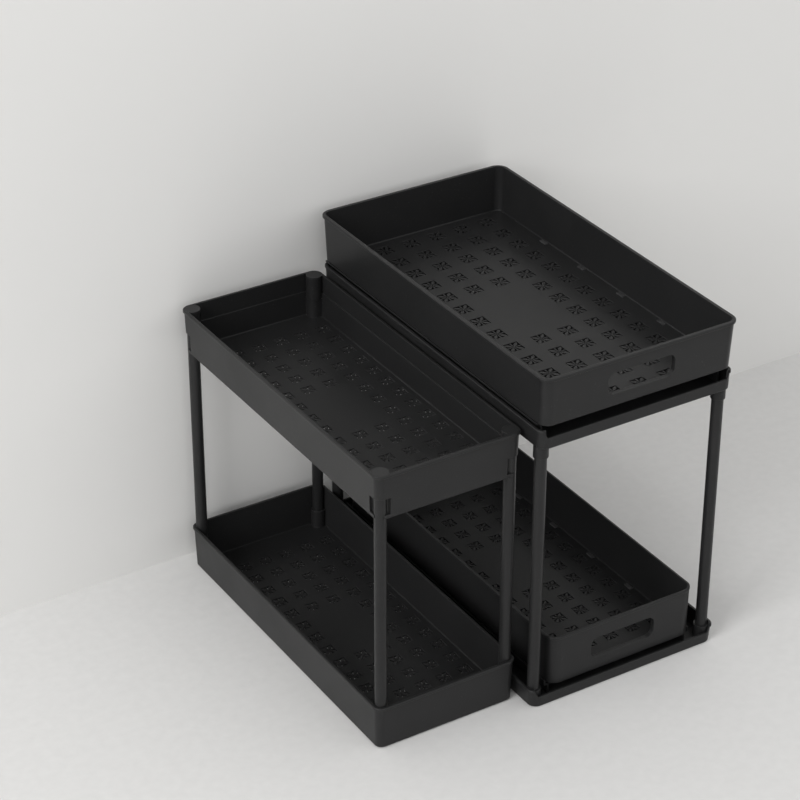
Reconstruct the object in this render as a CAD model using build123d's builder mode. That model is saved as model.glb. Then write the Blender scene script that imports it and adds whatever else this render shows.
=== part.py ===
from build123d import *
import os

os.makedirs("parts", exist_ok=True)

# Two organizers stand side by side: a fixed shelf on the left, a pull-out shelf on the right.
# X runs to the right, Y to the back, Z up. The origin is on the floor, at the middle of the set.

# Spacing of the two units
unit_gap = 2.0
left_setback = 14.0

# Posts, round bars that carry the upper tier of both units
post_radius = 6.3
spigot_radius = 5.2
fit_clearance = 0.15
boss_wall = 1.9

# Left unit, two deep trays on four posts
left_width = 167.0
left_depth = 398.0
left_height = 322.2
left_base_height = 51.0
left_top_height = 51.2
left_post_inset = 9.7
left_wall = 1.7
left_floor = 2.4
left_draft = 1.3
left_lip = 1.5
left_lip_height = 3.0
left_socket_height = 24.0
left_socket_floor = 4.5
ledge_drop = 21.0
ledge_step = 0.7

# Slots beside the corners of the left top tray, and the sleeves that close them inside
slot_rise = 5.3
slot_reach = 17.2
sleeve_radius = 8.1

# Collars of the left top tray and the caps over them
collar_drop = 27.5
cap_radius = 8.8
cap_thickness = 1.6
collar_roof = 3.0

# Right unit, upper drawer
upper_drawer_width = 235.0
upper_drawer_depth = 426.0
upper_drawer_height = 55.2
upper_drawer_level = 334.2
upper_draft = 1.9
upper_lip = 2.0

# Right unit, lower drawer
lower_drawer_width = 182.0
lower_drawer_depth = 406.5
lower_drawer_height = 59.4
lower_drawer_level = 14.8
lower_draft = 0.6
lower_lip = 0.5

# Both drawers
drawer_wall = 2.0
drawer_floor = 2.2
drawer_lip_height = 2.8
drawer_corner = 13.0
handle_width = 80.0
handle_height = 25.0
handle_corner = 8.5
handle_drop = 0.8
handle_collar = 2.2
handle_collar_depth = 3.0

# Right unit, base frame and upper frame
frame_width = 234.5
frame_depth = 418.5
frame_advance = 0.75
frame_side_height = 21.5
frame_lip_height = 13.0
frame_wall = 2.2
frame_floor = 2.2
frame_bead = 1.0
frame_bead_height = 2.6
frame_corner = 11.0
frame_corner_width = 9.0
frame_ramp = 5.0
base_flare = 1.3
upper_flare = 0.5
upper_frame_level = 309.5
post_inset_x = 9.4
post_inset_y = 13.2
base_socket_floor = 9.0
upper_collar_drop = 13.0
upper_collar_wall = 1.3

# Rails in the frames and the glide pads that ride on them
rail_web = 2.2
rail_flange_width = 11.0
rail_flange = 1.8
rail_guide = 1.8
rail_guide_height = 4.5
rail_side_play = 0.8
rail_front_gap = 12.0
glide_gap = 0.1
glide_thickness = 0.5
glide_width = 4.0
glide_length = 11.0
glide_head = 1.0
glide_spacing = 71.0
glide_shift = 6.5
glide_inset = 4.2
glide_count = 4
skid_width = 2.0
skid_depth = 4.0
skid_end_inset = 30.0

# Floor pattern: square windows around a plain middle field
pattern_columns = 6
pattern_rows = 13
lower_pattern_rows = 15
plain_columns = 2
plain_rows = 3
left_window = 13.4
left_pitch_x = 26.0
left_pitch_y = 26.0
lower_window = 14.2
lower_pitch_x = 28.0
lower_pitch_y = 27.0
upper_window = 16.4
upper_pitch_x = 33.0
upper_pitch_y = 31.2

# Edge bevels and the overrun of cuts
foot_bevel = 1.8
frame_bevel = 1.2
rim_bevel = 0.7
floor_bevel = 0.8
inner_corner = 3.2
overrun = 1.0

# Places of the two units
set_width = left_width + unit_gap + upper_drawer_width
left_x = (left_width - set_width) / 2
right_x = (set_width - upper_drawer_width) / 2
left_y = left_setback
right_y = 0
frame_y = right_y - frame_advance

left_post_x = left_width / 2 - left_post_inset
left_post_y = left_depth / 2 - left_post_inset
right_post_x = frame_width / 2 - post_inset_x
right_post_y = frame_depth / 2 - post_inset_y
bore_radius = post_radius + fit_clearance
spigot_bore = spigot_radius + fit_clearance
boss_radius = post_radius + boss_wall
left_top_level = left_height - left_top_height


def at(x, y, z):
    """Level plane through a point."""
    return Plane(origin=(x, y, z))


def upright(x, y, z):
    """Plane that faces the front, with its own x to the right and its own y up."""
    return Plane(origin=(x, y, z), x_dir=(1, 0, 0), z_dir=(0, -1, 0))


def leaning_block(x, y, z, width, depth, low_inset, high_inset, corner, height):
    """Block with rounded upright corners, whose outline is set in by one amount below
    and by another above."""
    with BuildPart() as block:
        with BuildSketch(at(x, y, z)):
            RectangleRounded(width - 2 * low_inset, depth - 2 * low_inset, corner)
        with BuildSketch(at(x, y, z + height)):
            RectangleRounded(width - 2 * high_inset, depth - 2 * high_inset, corner)
        loft(ruled=True)
    return block.part


def bevelled_block(x, y, z, width, depth, low_inset, high_inset, corner, height, bevel):
    """Leaning block with a bevel around its foot."""
    with BuildPart() as block:
        add(leaning_block(x, y, z, width, depth, low_inset + bevel, low_inset, corner, bevel))
        add(leaning_block(x, y, z + bevel, width, depth, low_inset, high_inset, corner, height - bevel))
    return block.part


def rim_band(x, y, z, width, depth, corner, height):
    """Band of an outward lip, bevelled around its top."""
    with BuildPart() as band:
        with BuildSketch(at(x, y, z)):
            RectangleRounded(width, depth, corner)
        extrude(amount=height - rim_bevel)
        add(leaning_block(x, y, z + height - rim_bevel, width, depth, 0, rim_bevel, corner, rim_bevel))
    return band.part


def open_tray(x, y, z, width, depth, height, draft, lip, lip_height, corner):
    """Drafted block with rounded corners and an outward lip, not yet hollowed."""
    with BuildPart() as tray:
        add(bevelled_block(x, y, z, width, depth, lip + draft, lip, corner - lip - draft / 2,
                           height, foot_bevel))
        add(rim_band(x, y, z + height - lip_height, width, depth, corner, lip_height))
    return tray.part


def tray_cavity(x, y, z, width, depth, height, wall, floor, draft, lip, corner):
    """Hollow of an open tray, from its floor to its rim."""
    low_inset = lip + wall + draft * (height - floor) / height
    hollow_corner = max(corner - lip - draft / 2 - wall, inner_corner)
    return bevelled_block(x, y, z + floor, width, depth, low_inset, lip + wall, hollow_corner,
                          height - floor, floor_bevel)


def window_field(x, y, z, rows, window, pitch_x, pitch_y, depth):
    """Rows and columns of square windows, with the middle field left plain."""
    with BuildPart() as field:
        with BuildSketch(at(x, y, z)):
            with GridLocations(pitch_x, pitch_y, pattern_columns, rows):
                Rectangle(window, window)
            Rectangle(plain_columns * pitch_x, plain_rows * pitch_y, mode=Mode.SUBTRACT)
        extrude(amount=depth)
    return field.part


def corner_cylinders(x, y, z, reach_x, reach_y, radius, height):
    """Four upright cylinders, one at each post."""
    with BuildPart() as cylinders:
        with BuildSketch(at(x, y, z)):
            with GridLocations(2 * reach_x, 2 * reach_y, 2, 2):
                Circle(radius)
        extrude(amount=height)
    return cylinders.part


# Left base tray: stands on the floor, with a socket boss for each post in its corners
left_base_solid = open_tray(left_x, left_y, 0, left_width, left_depth, left_base_height,
                            left_draft, left_lip, left_lip_height, left_post_inset)
left_base_hollow = tray_cavity(left_x, left_y, 0, left_width, left_depth, left_base_height,
                               left_wall, left_floor, left_draft, left_lip, left_post_inset)
left_base_bosses = corner_cylinders(left_x, left_y, 0, left_post_x, left_post_y,
                                    boss_radius, left_socket_height)
left_base_sockets = corner_cylinders(left_x, left_y, left_socket_floor, left_post_x, left_post_y,
                                     spigot_bore, left_socket_height)
left_base_reliefs = corner_cylinders(left_x, left_y, left_socket_height, left_post_x, left_post_y,
                                     bore_radius, left_base_height)
left_base_windows = window_field(left_x, left_y, -overrun, pattern_rows, left_window,
                                 left_pitch_x, left_pitch_y, left_floor + 2 * overrun)
with BuildPart() as left_base_cavity:
    add(left_base_hollow)
    add(left_base_bosses, mode=Mode.SUBTRACT)
with BuildPart() as left_base_tray:
    add(left_base_solid)
    add(left_base_cavity.part, mode=Mode.SUBTRACT)
    add(left_base_sockets, mode=Mode.SUBTRACT)
    add(left_base_reliefs, mode=Mode.SUBTRACT)
    add(left_base_windows, mode=Mode.SUBTRACT)
left_base_tray.part.label = "left_base_tray"
export_step(left_base_tray.part, "parts/left_base_tray.step")

# Left top tray: its closed corner collars rest on the ends of the posts. Below the collars each
# corner is open around the post on the outside, with slots in the walls beside it. A sleeve closes
# the corner off from the inside of the tray.
left_ledge_level = left_height - ledge_drop
sleeve_reach = left_post_inset + sleeve_radius
collar_level = left_height - collar_drop
collar_top = left_height - cap_thickness
left_post_top = collar_top - collar_roof
left_wall_reach = left_lip + left_draft + left_wall + ledge_step
ledge_inset = left_lip + left_wall
left_top_solid = open_tray(left_x, left_y, left_top_level, left_width, left_depth, left_top_height,
                           left_draft, left_lip, left_lip_height, left_post_inset)
left_top_hollow = tray_cavity(left_x, left_y, left_top_level, left_width, left_depth, left_top_height,
                              left_wall + ledge_step, left_floor, left_draft, left_lip, left_post_inset)
left_collars = corner_cylinders(left_x, left_y, collar_level, left_post_x, left_post_y,
                                cap_radius, collar_drop)
left_top_sockets = corner_cylinders(left_x, left_y, left_top_level - overrun, left_post_x, left_post_y,
                                    bore_radius, left_post_top - left_top_level + overrun)
left_cap_seats = corner_cylinders(left_x, left_y, collar_top, left_post_x, left_post_y,
                                  cap_radius + fit_clearance, cap_thickness + overrun)
left_top_windows = window_field(left_x, left_y, left_top_level - overrun, pattern_rows, left_window,
                                left_pitch_x, left_pitch_y, left_floor + 2 * overrun)
with BuildPart() as left_top_cavity:
    add(left_top_hollow)
    with BuildSketch(at(left_x, left_y, left_ledge_level)):
        RectangleRounded(left_width - 2 * ledge_inset, left_depth - 2 * ledge_inset,
                         left_post_inset - ledge_inset)
    extrude(amount=ledge_drop)
    add(left_collars, mode=Mode.SUBTRACT)
    with BuildSketch(at(left_x, left_y, left_top_level)):
        with GridLocations(2 * left_post_x, 2 * left_post_y, 2, 2):
            Circle(sleeve_radius)
        with GridLocations(left_width, left_depth, 2, 2):
            Rectangle(2 * sleeve_reach, 2 * left_post_inset)
            Rectangle(2 * left_post_inset, 2 * sleeve_reach)
    extrude(amount=collar_level - left_top_level, mode=Mode.SUBTRACT)
with BuildPart() as left_corner_cuts:
    with BuildSketch(at(left_x, left_y, left_top_level + slot_rise)):
        with GridLocations(left_width, left_depth, 2, 2):
            Rectangle(2 * slot_reach, 2 * left_wall_reach)
            Rectangle(2 * left_wall_reach, 2 * slot_reach)
    extrude(amount=collar_level - left_top_level - slot_rise)
    with BuildSketch(at(left_x, left_y, left_top_level)):
        with GridLocations(left_width, left_depth, 2, 2):
            Rectangle(2 * left_post_inset, 2 * left_post_inset)
    extrude(amount=slot_rise)
with BuildPart() as left_top_tray:
    add(left_top_solid)
    add(left_top_cavity.part, mode=Mode.SUBTRACT)
    add(left_top_sockets, mode=Mode.SUBTRACT)
    add(left_cap_seats, mode=Mode.SUBTRACT)
    add(left_corner_cuts.part, mode=Mode.SUBTRACT)
    add(left_top_windows, mode=Mode.SUBTRACT)
left_top_tray.part.label = "left_top_tray"
export_step(left_top_tray.part, "parts/left_top_tray.step")


def post(x, y, bottom, shoulder, top):
    """Round bar with a reduced spigot at its foot."""
    with BuildPart() as bar:
        with BuildSketch(at(x, y, bottom)):
            Circle(spigot_radius)
        extrude(amount=shoulder - bottom)
        with BuildSketch(at(x, y, shoulder)):
            Circle(post_radius)
        extrude(amount=top - shoulder)
    return bar


def cap(x, y):
    """Flat disc that lies in the seat on top of a collar."""
    with BuildPart() as disc:
        with BuildSketch(at(x, y, collar_top)):
            Circle(cap_radius)
        extrude(amount=cap_thickness)
    return disc


# Posts of both units and the caps of the left one, the same at all four corners
corners = [("front_left", -1, -1), ("front_right", 1, -1), ("back_left", -1, 1), ("back_right", 1, 1)]
base_socket_top = frame_side_height - frame_bead_height
for name, side, end in corners:
    left_post = post(left_x + side * left_post_x, left_y + end * left_post_y,
                     left_socket_floor, left_socket_height, left_post_top)
    left_post.part.label = f"left_post_{name}"
    export_step(left_post.part, f"parts/left_post_{name}.step")
    left_cap = cap(left_x + side * left_post_x, left_y + end * left_post_y)
    left_cap.part.label = f"left_cap_{name}"
    export_step(left_cap.part, f"parts/left_cap_{name}.step")
    right_post = post(right_x + side * right_post_x, frame_y + end * right_post_y,
                      base_socket_floor, base_socket_top, upper_frame_level)
    right_post.part.label = f"right_post_{name}"
    export_step(right_post.part, f"parts/right_post_{name}.step")


def frame_shell(z, flare, rail_top, rail_x, on_floor):
    """Shallow frame with a lowered front lip and two rails for a drawer. The one that stands
    on the floor has bosses for the posts, and guides beside its rails."""
    rise = frame_side_height - frame_floor
    low_inset = frame_bead + frame_wall + flare * rise / frame_side_height
    outer_corner = frame_corner - frame_bead - flare / 2
    wall_reach = frame_bead + flare + frame_wall
    lip_half = frame_width / 2 - frame_corner_width
    ramp_half = lip_half + frame_ramp
    cut_top = frame_side_height + overrun
    rail_half = frame_depth / 2 - frame_bead - flare - frame_wall / 2
    rail_rise = rail_top - z
    web_height = rail_rise - frame_floor
    guide_x = rail_x + rail_flange_width / 2 - rail_guide / 2
    with BuildPart() as hollow:
        add(leaning_block(right_x, frame_y, z + frame_floor, frame_width, frame_depth, low_inset,
                          frame_bead + frame_wall, max(outer_corner - frame_wall, inner_corner), rise))
        if on_floor:
            with BuildSketch(at(right_x, frame_y, z)):
                with GridLocations(2 * right_post_x, 2 * right_post_y, 2, 2):
                    Circle(boss_radius)
            extrude(amount=base_socket_top, mode=Mode.SUBTRACT)
    with BuildPart() as shell:
        add(bevelled_block(right_x, frame_y, z, frame_width, frame_depth, frame_bead + flare,
                           frame_bead, outer_corner, frame_side_height, frame_bevel))
        add(rim_band(right_x, frame_y, z + frame_side_height - frame_bead_height, frame_width,
                     frame_depth, frame_corner, frame_bead_height))
        add(hollow.part, mode=Mode.SUBTRACT)
        # Lowered front lip between the corners, with sloped ends
        with BuildSketch(upright(right_x, frame_y - frame_depth / 2 - overrun, z)):
            with BuildLine():
                Polyline((-ramp_half, cut_top), (-ramp_half, frame_side_height),
                         (-lip_half, frame_lip_height), (lip_half, frame_lip_height),
                         (ramp_half, frame_side_height), (ramp_half, cut_top), close=True)
            make_face()
        extrude(amount=-(wall_reach + overrun), mode=Mode.SUBTRACT)
        # Two rails: a web with a flange on top, and a side guide where the drawer needs one.
        # They start at the back wall and end short of the front lip.
        with BuildSketch(upright(right_x, frame_y + rail_half, z)):
            for side in (-1, 1):
                with Locations((side * rail_x, frame_floor + web_height / 2)):
                    Rectangle(rail_web, web_height)
                with Locations((side * rail_x, rail_rise - rail_flange / 2)):
                    Rectangle(rail_flange_width, rail_flange)
                if on_floor:
                    with Locations((side * guide_x, rail_rise + rail_guide_height / 2)):
                        Rectangle(rail_guide, rail_guide_height)
        extrude(amount=2 * rail_half - rail_front_gap)
    return shell.part


# Base frame: stands on the floor, sockets open upwards, rails with guides beside the lower drawer
lower_foot_half = lower_drawer_width / 2 - lower_lip - lower_draft
lower_rail_x = lower_foot_half + rail_side_play + rail_guide - rail_flange_width / 2
lower_rail_top = lower_drawer_level - glide_thickness - glide_gap
base_shell = frame_shell(0, base_flare, lower_rail_top, lower_rail_x, True)
base_sockets = corner_cylinders(right_x, frame_y, base_socket_floor, right_post_x, right_post_y,
                                spigot_bore, frame_side_height)
base_reliefs = corner_cylinders(right_x, frame_y, base_socket_top, right_post_x, right_post_y,
                                bore_radius, frame_side_height)
with BuildPart() as right_base_frame:
    add(base_shell)
    add(base_sockets, mode=Mode.SUBTRACT)
    add(base_reliefs, mode=Mode.SUBTRACT)
right_base_frame.part.label = "right_base_frame"
export_step(right_base_frame.part, "parts/right_base_frame.step")

# Upper frame: rests on the posts, whose ends enter collars below it
upper_foot_half = upper_drawer_width / 2 - upper_lip - upper_draft
upper_rail_x = upper_foot_half - drawer_wall - glide_inset
upper_rail_top = upper_drawer_level - glide_thickness - glide_gap
upper_shell = frame_shell(upper_frame_level, upper_flare, upper_rail_top, upper_rail_x, False)
upper_collar_level = upper_frame_level - upper_collar_drop
upper_collars = corner_cylinders(right_x, frame_y, upper_collar_level, right_post_x, right_post_y,
                                 bore_radius + upper_collar_wall, upper_collar_drop)
upper_sockets = corner_cylinders(right_x, frame_y, upper_collar_level, right_post_x, right_post_y,
                                 bore_radius, upper_collar_drop)
with BuildPart() as right_upper_frame:
    add(upper_shell)
    add(upper_collars)
    add(upper_sockets, mode=Mode.SUBTRACT)
right_upper_frame.part.label = "right_upper_frame"
export_step(right_upper_frame.part, "parts/right_upper_frame.step")


def drawer_shell(front, z, width, depth, height, draft, lip, rows, window, pitch_x, pitch_y, skids):
    """Drawer with a rounded handle slot, a pierced floor and slots for its glide pads."""
    centre = front + depth / 2
    wall_reach = lip + draft + drawer_wall
    glide_x = width / 2 - wall_reach - glide_inset
    handle_z = z + height / 2 - handle_drop
    solid = open_tray(right_x, centre, z, width, depth, height,
                      draft, lip, drawer_lip_height, drawer_corner)
    cavity = tray_cavity(right_x, centre, z, width, depth, height, drawer_wall, drawer_floor,
                         draft, lip, drawer_corner)
    windows = window_field(right_x, centre, z - overrun, rows, window, pitch_x, pitch_y,
                           drawer_floor + 2 * overrun)
    with BuildPart() as shell:
        add(solid)
        add(cavity, mode=Mode.SUBTRACT)
        # Collar inside the front wall around the handle slot
        with BuildSketch(upright(right_x, front + lip + draft, handle_z)):
            RectangleRounded(handle_width + 2 * handle_collar, handle_height + 2 * handle_collar,
                             handle_corner + handle_collar)
        extrude(amount=-(drawer_wall + handle_collar_depth))
        with BuildSketch(upright(right_x, front - overrun, handle_z)):
            RectangleRounded(handle_width, handle_height, handle_corner)
        extrude(amount=-(wall_reach + handle_collar_depth + 2 * overrun), mode=Mode.SUBTRACT)
        add(windows, mode=Mode.SUBTRACT)
        # Slots that the glide pads pass through
        with BuildSketch(at(right_x, centre + glide_shift, z)):
            with GridLocations(2 * glide_x, glide_spacing, 2, glide_count):
                Rectangle(glide_width, glide_length)
        extrude(amount=drawer_floor + floor_bevel, mode=Mode.SUBTRACT)
        # Skids under the floor that keep the wide drawer between its rails
        if skids:
            skid_x = glide_x - rail_flange_width / 2 - rail_side_play - skid_width / 2
            with BuildSketch(at(right_x, centre, z)):
                with GridLocations(2 * skid_x, depth, 2, 1):
                    Rectangle(skid_width, depth - 2 * skid_end_inset)
            extrude(amount=-skid_depth)
    return shell.part


def glide_pads(front, z, width, depth, draft, lip):
    """Glide pads of one drawer, four on each side, all alike."""
    centre = front + depth / 2 + glide_shift
    glide_x = width / 2 - lip - draft - drawer_wall - glide_inset
    with BuildPart() as pads:
        with BuildSketch(at(right_x, centre, z - glide_thickness)):
            with GridLocations(2 * glide_x, glide_spacing, 2, glide_count):
                Rectangle(glide_width, glide_length)
        extrude(amount=glide_thickness + drawer_floor + glide_head)
    return pads.part


# Upper drawer: covers the whole upper frame and hangs a little over its front
upper_drawer_front = right_y - upper_drawer_depth / 2
upper_shell_parts = drawer_shell(upper_drawer_front, upper_drawer_level, upper_drawer_width,
                                 upper_drawer_depth, upper_drawer_height, upper_draft, upper_lip,
                                 pattern_rows, upper_window, upper_pitch_x, upper_pitch_y, True)
with BuildPart() as upper_drawer:
    add(upper_shell_parts)
upper_drawer.part.label = "upper_drawer"
export_step(upper_drawer.part, "parts/upper_drawer.step")
with BuildPart() as upper_glides:
    add(glide_pads(upper_drawer_front, upper_drawer_level, upper_drawer_width, upper_drawer_depth,
                   upper_draft, upper_lip))
upper_glides.part.label = "upper_glides"
export_step(upper_glides.part, "parts/upper_glides.step")

# Lower drawer: narrower, so that it passes between the posts
lower_drawer_front = right_y - lower_drawer_depth / 2
lower_shell_parts = drawer_shell(lower_drawer_front, lower_drawer_level, lower_drawer_width,
                                 lower_drawer_depth, lower_drawer_height, lower_draft, lower_lip,
                                 lower_pattern_rows, lower_window, lower_pitch_x, lower_pitch_y, False)
with BuildPart() as lower_drawer:
    add(lower_shell_parts)
lower_drawer.part.label = "lower_drawer"
export_step(lower_drawer.part, "parts/lower_drawer.step")
with BuildPart() as lower_glides:
    add(glide_pads(lower_drawer_front, lower_drawer_level, lower_drawer_width, lower_drawer_depth,
                   lower_draft, lower_lip))
lower_glides.part.label = "lower_glides"
export_step(lower_glides.part, "parts/lower_glides.step")
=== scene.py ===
from math import cos, pi, radians, sin

import bpy
from mathutils import Matrix, Vector


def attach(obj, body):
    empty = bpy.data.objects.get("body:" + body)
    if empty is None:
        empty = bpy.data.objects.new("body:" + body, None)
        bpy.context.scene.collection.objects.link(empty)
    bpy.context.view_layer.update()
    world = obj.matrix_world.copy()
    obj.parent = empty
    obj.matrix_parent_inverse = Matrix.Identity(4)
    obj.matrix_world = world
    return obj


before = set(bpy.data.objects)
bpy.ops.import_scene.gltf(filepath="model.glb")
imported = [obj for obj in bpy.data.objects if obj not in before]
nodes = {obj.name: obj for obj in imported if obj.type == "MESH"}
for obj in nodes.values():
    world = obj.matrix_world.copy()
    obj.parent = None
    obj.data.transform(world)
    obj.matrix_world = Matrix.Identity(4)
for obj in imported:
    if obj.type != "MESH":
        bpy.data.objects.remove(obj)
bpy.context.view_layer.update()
scene = bpy.context.scene


# Camera: stands at the front left and looks down on the set at about thirty degrees,
# with a long lens. The small shift keeps the set where the photograph has it.
camera_place = Vector((-1.2467, -1.9122, 1.5935))
camera_turn = radians(31.90)
camera_dip = radians(30.49)
camera_roll = radians(0.14)
camera_lens = 114.84
camera_shift = (-0.0055, 0.0040)

look = Vector((sin(camera_turn) * cos(camera_dip),
               cos(camera_turn) * cos(camera_dip),
               -sin(camera_dip)))
camera_data = bpy.data.cameras.new("photo_camera")
camera_data.sensor_width = 36.0
camera_data.lens = camera_lens
camera_data.shift_x, camera_data.shift_y = camera_shift
camera_data.clip_start = 0.05
camera_data.clip_end = 60.0
camera = bpy.data.objects.new("photo_camera", camera_data)
scene.collection.objects.link(camera)
camera.matrix_world = (Matrix.Translation(camera_place)
                       @ look.to_track_quat("-Z", "Y").to_matrix().to_4x4()
                       @ Matrix.Rotation(camera_roll, 4, "Z"))
scene.camera = camera


# Ground and wall: a pale smooth floor and the pale wall that the set stands close to.
# Both are plain, and only there to carry shadows and the soft reflections in the plastic.
# The wall is clear from behind, so that the back of the set can be seen.
wall_distance = 0.229
wall_height = 2.4
ground_reach = 6.0
ground_colour = (0.77, 0.765, 0.755, 1.0)
wall_colour = (0.84, 0.835, 0.82, 1.0)
pale_roughness = 0.75


def wire(tree, *wires):
    """Links sockets of a tree, each link written as node, output, node, input."""
    for source, output, sink, entry in wires:
        tree.links.new(source.outputs[output], sink.inputs[entry])


def scaled(colour, factor):
    """Colour with its red, green and blue scaled, fully opaque."""
    return tuple(c * factor for c in colour[:3]) + (1.0,)


def colour_mix(tree, first=None, second=None):
    """Mix node for colours, with those that are fixed."""
    mix = tree.nodes.new("ShaderNodeMix")
    mix.data_type = "RGBA"
    if first is not None:
        mix.inputs["A"].default_value = first
    if second is not None:
        mix.inputs["B"].default_value = second
    return mix


def pale_surface(name, colour, cloud_scale, cloud_depth):
    """Material of a pale stage surface with a faint cloudy tone."""
    material = bpy.data.materials.new(name)
    material.use_nodes = True
    tree = material.node_tree
    shader = tree.nodes["Principled BSDF"]
    shader.inputs["Roughness"].default_value = pale_roughness
    place = tree.nodes.new("ShaderNodeTexCoord")
    cloud = tree.nodes.new("ShaderNodeTexNoise")
    cloud.inputs["Scale"].default_value = cloud_scale
    cloud.inputs["Detail"].default_value = 6.0
    tone = colour_mix(tree, colour, scaled(colour, 1.0 - cloud_depth))
    wire(tree,
         (place, "Object", cloud, "Vector"),
         (cloud, "Fac", tone, "Factor"),
         (tone, "Result", shader, "Base Color"))
    return material


def pale_sheet(name, corners, finish):
    """Flat sheet between four corners."""
    mesh = bpy.data.meshes.new(name)
    mesh.from_pydata(corners, [], [(0, 1, 2, 3)])
    mesh.materials.append(finish)
    sheet = bpy.data.objects.new(name, mesh)
    scene.collection.objects.link(sheet)
    return sheet


ground_finish = pale_surface("pale_ground", ground_colour, cloud_scale=90.0, cloud_depth=0.10)
ground = pale_sheet("ground", [(-ground_reach, -ground_reach, 0), (ground_reach, -ground_reach, 0),
                               (ground_reach, ground_reach, 0), (-ground_reach, ground_reach, 0)],
                    ground_finish)

wall_finish = pale_surface("pale_wall", wall_colour, cloud_scale=3.0, cloud_depth=0.06)
wall_tree = wall_finish.node_tree
wall_face = wall_tree.nodes.new("ShaderNodeNewGeometry")
wall_clear = wall_tree.nodes.new("ShaderNodeBsdfTransparent")
wall_side = wall_tree.nodes.new("ShaderNodeMixShader")
wire(wall_tree,
     (wall_face, "Backfacing", wall_side, 0),
     (wall_tree.nodes["Principled BSDF"], "BSDF", wall_side, 1),
     (wall_clear, "BSDF", wall_side, 2),
     (wall_side, "Shader", wall_tree.nodes["Material Output"], "Surface"))
wall = pale_sheet("wall", [(-ground_reach, wall_distance, 0), (ground_reach, wall_distance, 0),
                           (ground_reach, wall_distance, wall_height),
                           (-ground_reach, wall_distance, wall_height)],
                  wall_finish)


# Studio light: an even pale surround and one large soft panel high at the left,
# which makes the left faces of the black plastic brighter than the front ones.
# It stands well away, so that it doesn't whiten the ground on its own side.
surround_strength = 0.82
panel_place = Vector((-5.5, -1.65, 3.61))
panel_target = Vector((0.0, 0.0, 0.2))
panel_size = 2.86
panel_power = 203.0

world = bpy.data.worlds.new("studio")
world.use_nodes = True
surround = world.node_tree.nodes["Background"]
surround.inputs["Color"].default_value = (1.0, 1.0, 1.0, 1.0)
surround.inputs["Strength"].default_value = surround_strength
scene.world = world

panel_data = bpy.data.lights.new("left_panel", "AREA")
panel_data.shape = "SQUARE"
panel_data.size = panel_size
panel_data.energy = panel_power
panel = bpy.data.objects.new("left_panel", panel_data)
scene.collection.objects.link(panel)
panel.location = panel_place
panel.rotation_euler = (panel_target - panel_place).to_track_quat("-Z", "Y").to_euler()


# Trays, drawers and frames: moulded polypropylene, matt black, with a fine blasted grain.
# Convex rims and corners get a painted highlight, a lighter colour, and a little more gloss; the flat walls
# vary faintly.
def new_group(name, inputs, outputs):
    """Shader group with named inputs (kind, name, value) and outputs (kind, name)."""
    group = bpy.data.node_groups.new(name, "ShaderNodeTree")
    for kind, label, value in inputs:
        socket = group.interface.new_socket(name=label, in_out="INPUT", socket_type=kind)
        if value is not None:
            socket.default_value = value
    for kind, label in outputs:
        group.interface.new_socket(name=label, in_out="OUTPUT", socket_type=kind)
    return group, group.nodes.new("NodeGroupInput"), group.nodes.new("NodeGroupOutput")


def maths(tree, operation, second=None):
    """Math node, with its second value where that is fixed."""
    node = tree.nodes.new("ShaderNodeMath")
    node.operation = operation
    if second is not None:
        node.inputs[1].default_value = second
    return node


def value_map(tree, from_low=0.0, from_high=1.0, to_low=0.0, to_high=1.0):
    """Node that maps one range of values to another, held at its ends."""
    node = tree.nodes.new("ShaderNodeMapRange")
    node.inputs["From Min"].default_value = from_low
    node.inputs["From Max"].default_value = from_high
    node.inputs["To Min"].default_value = to_low
    node.inputs["To Max"].default_value = to_high
    return node


def noise(tree, detail, roughness=0.5, distortion=0.0):
    """Noise texture."""
    node = tree.nodes.new("ShaderNodeTexNoise")
    node.inputs["Detail"].default_value = detail
    node.inputs["Roughness"].default_value = roughness
    node.inputs["Distortion"].default_value = distortion
    return node


flow_scale = 14.0
speck_coarseness = 0.28
fine_share = 0.55

grain_group, grain_in, grain_out = new_group(
    "BlastedGrain",
    [("NodeSocketVector", "Vector", None), ("NodeSocketFloat", "Grain Scale", 1400.0),
     ("NodeSocketFloat", "Flow Scale", flow_scale)],
    [("NodeSocketFloat", "Height"), ("NodeSocketFloat", "Mottle"), ("NodeSocketFloat", "Fleck")])
pebble = grain_group.nodes.new("ShaderNodeTexVoronoi")
pebble.feature = "SMOOTH_F1"
pebble.inputs["Smoothness"].default_value = 0.6
fine = noise(grain_group, detail=3.0, roughness=0.6)
flow = noise(grain_group, detail=5.0, roughness=0.55, distortion=0.4)
speck = noise(grain_group, detail=2.0)
speck_cut = value_map(grain_group, from_low=0.66, from_high=0.74)
speck_scale = maths(grain_group, "MULTIPLY", speck_coarseness)
height_sum = maths(grain_group, "MULTIPLY_ADD", fine_share)
wire(grain_group,
     (grain_in, "Vector", pebble, "Vector"),
     (grain_in, "Vector", fine, "Vector"),
     (grain_in, "Vector", flow, "Vector"),
     (grain_in, "Vector", speck, "Vector"),
     (grain_in, "Grain Scale", pebble, "Scale"),
     (grain_in, "Grain Scale", fine, "Scale"),
     (grain_in, "Grain Scale", speck_scale, 0),
     (speck_scale, "Value", speck, "Scale"),
     (grain_in, "Flow Scale", flow, "Scale"),
     (fine, "Fac", height_sum, 0),
     (pebble, "Distance", height_sum, 2),
     (height_sum, "Value", grain_out, "Height"),
     (flow, "Fac", grain_out, "Mottle"),
     (speck, "Fac", speck_cut, "Value"),
     (speck_cut, "Result", grain_out, "Fleck"))

hollow_reach = 0.003

# Edge mask: convex edges found from the bevelled normal, with hollows left out by a short ambient occlusion.
# The material paints a lighter colour there as a highlight and lowers the roughness.
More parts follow.
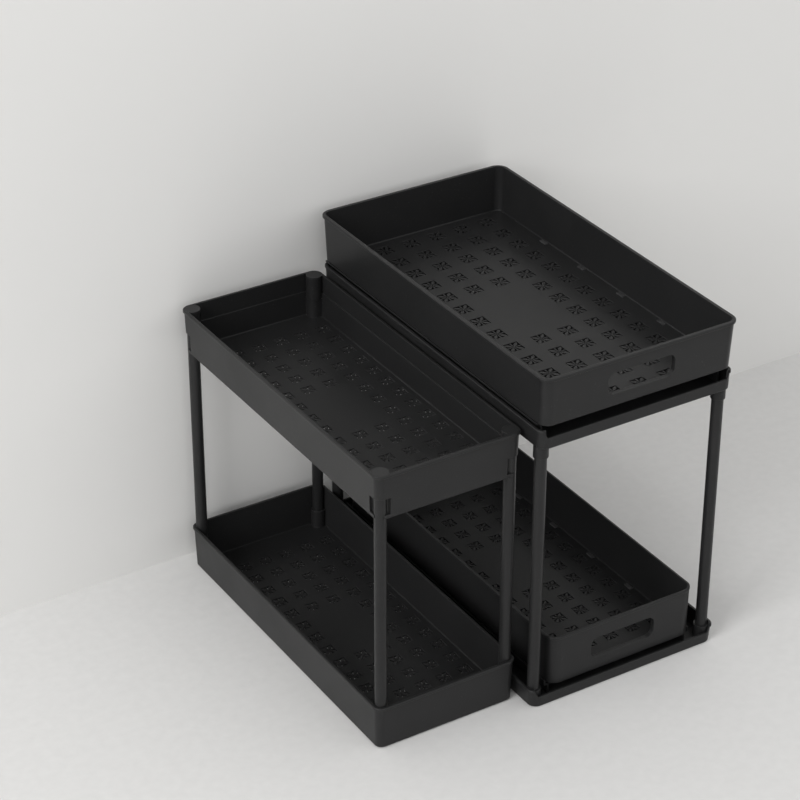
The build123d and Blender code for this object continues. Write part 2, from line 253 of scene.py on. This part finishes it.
edge_highlight_group, edge_highlight_in, edge_highlight_out = new_group(
    "EdgeHighlightAndGloss",
    [("NodeSocketFloat", "Edge Width", 0.0012), ("NodeSocketFloat", "Breakup", 0.5),
     ("NodeSocketFloat", "Amount", 1.0)],
    [("NodeSocketFloat", "Mask"), ("NodeSocketVector", "Soft Normal")])
soft_edge = edge_highlight_group.nodes.new("ShaderNodeBevel")
soft_edge.samples = 4
true_face = edge_highlight_group.nodes.new("ShaderNodeNewGeometry")
edge_dot = edge_highlight_group.nodes.new("ShaderNodeVectorMath")
edge_dot.operation = "DOT_PRODUCT"
edge_ramp = value_map(edge_highlight_group, from_low=0.995, from_high=0.86)
edge_break = maths(edge_highlight_group, "MULTIPLY")
edge_amount = maths(edge_highlight_group, "MULTIPLY")
hollow = edge_highlight_group.nodes.new("ShaderNodeAmbientOcclusion")
hollow.samples = 6
hollow.only_local = True
hollow.inputs["Distance"].default_value = hollow_reach
proud = value_map(edge_highlight_group, from_low=0.80, from_high=0.96)
edge_proud = maths(edge_highlight_group, "MULTIPLY")
wire(edge_highlight_group,
     (edge_highlight_in, "Edge Width", soft_edge, "Radius"),
     (soft_edge, "Normal", edge_dot, 0),
     (true_face, "Normal", edge_dot, 1),
     (edge_dot, "Value", edge_ramp, "Value"),
     (edge_ramp, "Result", edge_break, 0),
     (edge_highlight_in, "Breakup", edge_break, 1),
     (edge_break, "Value", edge_amount, 0),
     (edge_highlight_in, "Amount", edge_amount, 1),
     (hollow, "AO", proud, "Value"),
     (edge_amount, "Value", edge_proud, 0),
     (proud, "Result", edge_proud, 1),
     (edge_proud, "Value", edge_highlight_out, "Mask"),
     (soft_edge, "Normal", edge_highlight_out, "Soft Normal"))

edge_highlight_amount = 0.75
mottle_dark, mottle_light, fleck_light = 0.82, 1.18, 1.9
edge_gloss = 0.82
plastic_ior = 1.49
specular_level = 0.25
grain_strength = 0.35


def black_plastic(name, colour, edge_highlight_level, rough, grain_scale, grain_depth, edge_width, turn):
    """Matt black moulded plastic with its own grain, gloss range and a painted highlight: a lighter colour
    along convex edges.
    """
    material = bpy.data.materials.new(name)
    material.use_nodes = True
    tree = material.node_tree
    shader = tree.nodes["Principled BSDF"]
    shader.inputs["IOR"].default_value = plastic_ior
    shader.inputs["Specular IOR Level"].default_value = specular_level
    place = tree.nodes.new("ShaderNodeTexCoord")
    mapping = tree.nodes.new("ShaderNodeMapping")
    mapping.inputs["Rotation"].default_value = (0.0, 0.0, turn)
    grain = tree.nodes.new("ShaderNodeGroup")
    grain.node_tree = grain_group
    grain.inputs["Grain Scale"].default_value = grain_scale
    grain.inputs["Flow Scale"].default_value = flow_scale
    edge_highlight_node = tree.nodes.new("ShaderNodeGroup")
    edge_highlight_node.node_tree = edge_highlight_group
    edge_highlight_node.inputs["Edge Width"].default_value = edge_width
    edge_highlight_node.inputs["Amount"].default_value = edge_highlight_amount
    tone = colour_mix(tree, scaled(colour, mottle_dark), scaled(colour, mottle_light))
    fleck = colour_mix(tree, second=scaled(colour, fleck_light))
    # Lighter colour along convex edges: a painted highlight.
    edge = colour_mix(tree, second=(edge_highlight_level, edge_highlight_level, edge_highlight_level, 1.0))
    gloss = value_map(tree, from_low=0.3, from_high=0.7, to_low=rough[0], to_high=rough[1])
    gloss_edge = value_map(tree, to_low=1.0, to_high=edge_gloss)
    gloss_all = maths(tree, "MULTIPLY")
    bump = tree.nodes.new("ShaderNodeBump")
    bump.inputs["Strength"].default_value = grain_strength
    bump.inputs["Distance"].default_value = grain_depth
    wire(tree,
         (place, "Object", mapping, "Vector"),
         (mapping, "Vector", grain, "Vector"),
         (grain, "Mottle", edge_highlight_node, "Breakup"),
         (grain, "Mottle", tone, "Factor"),
         (grain, "Fleck", fleck, "Factor"),
         (tone, "Result", fleck, "A"),
         (fleck, "Result", edge, "A"),
         (edge_highlight_node, "Mask", edge, "Factor"),
         (edge, "Result", shader, "Base Color"),
         (grain, "Mottle", gloss, "Value"),
         (edge_highlight_node, "Mask", gloss_edge, "Value"),
         (gloss, "Result", gloss_all, 0),
         (gloss_edge, "Result", gloss_all, 1),
         (gloss_all, "Value", shader, "Roughness"),
         (grain, "Height", bump, "Height"),
         (edge_highlight_node, "Soft Normal", bump, "Normal"),
         (bump, "Normal", shader, "Normal"))
    return material


def finish_node(node, material):
    """Gives a CAD node its finish without touching its mesh."""
    mesh = nodes[node].data
    if mesh.materials:
        for index in range(len(mesh.materials)):
            mesh.materials[index] = material
    else:
        mesh.materials.append(material)


tray_black = black_plastic("tray_black", colour=(0.0165, 0.0165, 0.0168), edge_highlight_level=0.060, rough=(0.33, 0.44),
                           grain_scale=1500.0, grain_depth=0.00006, edge_width=0.0009, turn=0.2)
for tray in ("left_base_tray", "left_top_tray"):
    finish_node(tray, tray_black)

drawer_black = black_plastic("drawer_black", colour=(0.0160, 0.0160, 0.0163), edge_highlight_level=0.058, rough=(0.31, 0.42),
                             grain_scale=1350.0, grain_depth=0.00006, edge_width=0.0009, turn=1.1)
for drawer in ("lower_drawer", "upper_drawer"):
    finish_node(drawer, drawer_black)

frame_black = black_plastic("frame_black", colour=(0.0155, 0.0155, 0.0158), edge_highlight_level=0.055, rough=(0.34, 0.46),
                            grain_scale=1300.0, grain_depth=0.00005, edge_width=0.0009, turn=2.3)
for shelf in ("right_base_frame", "right_upper_frame"):
    finish_node(shelf, frame_black)


# Posts: eight extruded black bars that push into the trays and frames at both ends.
# They are smoother than the moulded trays, so each shows a soft bright line along its length.
corners = ("front_left", "front_right", "back_left", "back_right")
post_black = black_plastic("post_black", colour=(0.0170, 0.0170, 0.0173), edge_highlight_level=0.058, rough=(0.28, 0.38),
                           grain_scale=2100.0, grain_depth=0.00003, edge_width=0.0006, turn=0.7)
for unit in ("left", "right"):
    for corner in corners:
        finish_node(f"{unit}_post_{corner}", post_black)


# Corner caps: four flat black discs that lie in the collars of the left top tray.
# They have the tray's own grain, so only their thin outline shows.
cap_black = black_plastic("cap_black", colour=(0.0190, 0.0190, 0.0193), edge_highlight_level=0.045, rough=(0.34, 0.45),
                          grain_scale=1800.0, grain_depth=0.00003, edge_width=0.0005, turn=1.7)
for corner in corners:
    finish_node(f"left_cap_{corner}", cap_black)


# Glide pads: small dark acetal blocks pressed through the drawer floors, four on each side.
# Their convex edges get the same painted highlight, a lighter colour, and their heads show inside the
# drawers.
glide_black = black_plastic("glide_black", colour=(0.0460, 0.0460, 0.0465), edge_highlight_level=0.130, rough=(0.25, 0.36),
                            grain_scale=900.0, grain_depth=0.00002, edge_width=0.0005, turn=0.4)
for pads in ("lower_glides", "upper_glides"):
    finish_node(pads, glide_black)


# Floor lattices: in every square window of the tray and drawer floors sits a flower of four
# petals and four bars around a hub, moulded in one with the floor, a little below its surface.
# The middle of each floor is plain. Outlines are in shares of the window's half width.
petal_inner = 0.10
petal_reach = 1.20
petal_steps = 4
petal_lean = 1.3
bar_outline = [(0.12, -0.06), (1.02, -0.13), (1.02, 0.13), (0.12, 0.06)]
hub_radius = 0.22
hub_sides = 6
petals = bars = 4


def turned(outline, turn):
    """Outline turned about the middle of the window."""
    return [(x * cos(turn) - y * sin(turn), x * sin(turn) + y * cos(turn)) for x, y in outline]


def petal_outline(belly):
    """Petal that points to the right, as wide as twice its belly."""
    side = [(petal_inner + petal_reach * k / petal_steps,
             belly * sin(pi * (k / petal_steps) ** petal_lean)) for k in range(petal_steps + 1)]
    return side + [(x, -y) for x, y in reversed(side[1:-1])]


def flower_mesh(name, half_width, belly, thickness):
    """One flower: closed plates that overlap at the hub, top face at height zero."""
    outlines = [turned(petal_outline(belly), pi / 4 + k * 2 * pi / petals) for k in range(petals)]
    outlines += [turned(bar_outline, k * 2 * pi / bars) for k in range(bars)]
    outlines += [[(hub_radius * cos(k * 2 * pi / hub_sides), hub_radius * sin(k * 2 * pi / hub_sides))
                  for k in range(hub_sides)]]
    points = []
    faces = []
    for outline in outlines:
        start = len(points)
        count = len(outline)
        points += [(x * half_width, y * half_width, 0.0) for x, y in outline]
        points += [(x * half_width, y * half_width, -thickness) for x, y in outline]
        faces.append(tuple(range(start, start + count)))
        faces.append(tuple(reversed(range(start + count, start + 2 * count))))
        for k in range(count):
            after = (k + 1) % count
            faces.append((start + k, start + count + k, start + count + after, start + after))
    mesh = bpy.data.meshes.new(name)
    mesh.from_pydata(points, [], faces)
    mesh.validate()
    return mesh


field_tree = bpy.data.node_groups.new("FlowerField", "GeometryNodeTree")
for kind, label in (("NodeSocketGeometry", "Flower"), ("NodeSocketInt", "Columns"),
                    ("NodeSocketInt", "Rows"), ("NodeSocketFloat", "Column Pitch"),
                    ("NodeSocketFloat", "Row Pitch"), ("NodeSocketFloat", "Plain Width"),
                    ("NodeSocketFloat", "Plain Depth"), ("NodeSocketVector", "Centre"),
                    ("NodeSocketMaterial", "Finish")):
    field_tree.interface.new_socket(name=label, in_out="INPUT", socket_type=kind)
field_tree.interface.new_socket(name="Geometry", in_out="OUTPUT", socket_type="NodeSocketGeometry")
field_in = field_tree.nodes.new("NodeGroupInput")
field_out = field_tree.nodes.new("NodeGroupOutput")
grid = field_tree.nodes.new("GeometryNodeMeshGrid")
where = field_tree.nodes.new("GeometryNodeInputPosition")
axes = field_tree.nodes.new("ShaderNodeSeparateXYZ")
in_plain = maths(field_tree, "MULTIPLY")
wire(field_tree, (where, "Position", axes, "Vector"))
for axis, (count, pitch, plain) in enumerate((("Columns", "Column Pitch", "Plain Width"),
                                              ("Rows", "Row Pitch", "Plain Depth"))):
    letter = "XY"[axis]
    gaps = maths(field_tree, "SUBTRACT", 1.0)
    span = maths(field_tree, "MULTIPLY")
    away = maths(field_tree, "ABSOLUTE")
    half = maths(field_tree, "MULTIPLY", 0.5)
    below = maths(field_tree, "LESS_THAN")
    wire(field_tree,
         (field_in, count, grid, "Vertices " + letter),
         (field_in, count, gaps, 0),
         (gaps, "Value", span, 0),
         (field_in, pitch, span, 1),
         (span, "Value", grid, "Size " + letter),
         (axes, letter, away, 0),
         (field_in, plain, half, 0),
         (away, "Value", below, 0),
         (half, "Value", below, 1),
         (below, "Value", in_plain, axis))
thin_out = field_tree.nodes.new("GeometryNodeDeleteGeometry")
thin_out.domain = "POINT"
shift = field_tree.nodes.new("GeometryNodeSetPosition")
place_flowers = field_tree.nodes.new("GeometryNodeInstanceOnPoints")
realise = field_tree.nodes.new("GeometryNodeRealizeInstances")
finish_all = field_tree.nodes.new("GeometryNodeSetMaterial")
wire(field_tree,
     (grid, "Mesh", thin_out, "Geometry"),
     (in_plain, "Value", thin_out, "Selection"),
     (thin_out, "Geometry", shift, "Geometry"),
     (field_in, "Centre", shift, "Offset"),
     (shift, "Geometry", place_flowers, "Points"),
     (field_in, "Flower", place_flowers, "Instance"),
     (place_flowers, "Instances", realise, "Geometry"),
     (realise, "Geometry", finish_all, "Geometry"),
     (field_in, "Finish", finish_all, "Material"),
     (finish_all, "Geometry", field_out, "Geometry"))

lattice_black = black_plastic("lattice_black", colour=(0.0200, 0.0200, 0.0203), edge_highlight_level=0.050,
                              rough=(0.32, 0.44), grain_scale=1700.0, grain_depth=0.00003,
                              edge_width=0.0003, turn=0.9)
lattice_drop = 0.0004
lattice_thickness = 0.0017
lattice_columns = 6
plain_columns, plain_rows = 2, 3


def floor_lattice(name, body, middle, floor, rows, window, belly, column_pitch, row_pitch):
    """Field of flowers for one floor, made by the tree and kept as a plain mesh."""
    flower = flower_mesh(name + "_flower", window / 2, belly, lattice_thickness)
    seed = bpy.data.objects.new(name + "_flower", flower)
    scene.collection.objects.link(seed)
    modifier = seed.modifiers.new("field", "NODES")
    modifier.node_group = field_tree
    values = {"Columns": lattice_columns, "Rows": rows,
              "Column Pitch": column_pitch, "Row Pitch": row_pitch,
              "Plain Width": plain_columns * column_pitch, "Plain Depth": plain_rows * row_pitch,
              "Centre": (middle[0], middle[1], floor - lattice_drop), "Finish": lattice_black}
    for item in field_tree.interface.items_tree:
        if item.in_out == "INPUT" and item.name in values:
            modifier[item.identifier] = values[item.name]
    bpy.context.view_layer.update()
    graph = bpy.context.evaluated_depsgraph_get()
    mesh = bpy.data.meshes.new_from_object(seed.evaluated_get(graph))
    mesh.name = name
    field = bpy.data.objects.new(name, mesh)
    scene.collection.objects.link(field)
    bpy.data.objects.remove(seed)
    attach(field, body)


left_middle = (-0.1185, 0.014)
right_middle = (0.0845, 0.0)
floor_lattice("left_base_lattice", "stand", left_middle, floor=0.0024, rows=13,
              window=0.0134, belly=0.30, column_pitch=0.026, row_pitch=0.026)
floor_lattice("left_top_lattice", "stand", left_middle, floor=0.2734, rows=13,
              window=0.0134, belly=0.30, column_pitch=0.026, row_pitch=0.026)
floor_lattice("lower_drawer_lattice", "lower_tray", right_middle, floor=0.0170, rows=15,
              window=0.0142, belly=0.25, column_pitch=0.028, row_pitch=0.027)
floor_lattice("upper_drawer_lattice", "upper_tray", right_middle, floor=0.3364, rows=13,
              window=0.0164, belly=0.25, column_pitch=0.033, row_pitch=0.0312)

scene.view_settings.view_transform = "Standard"
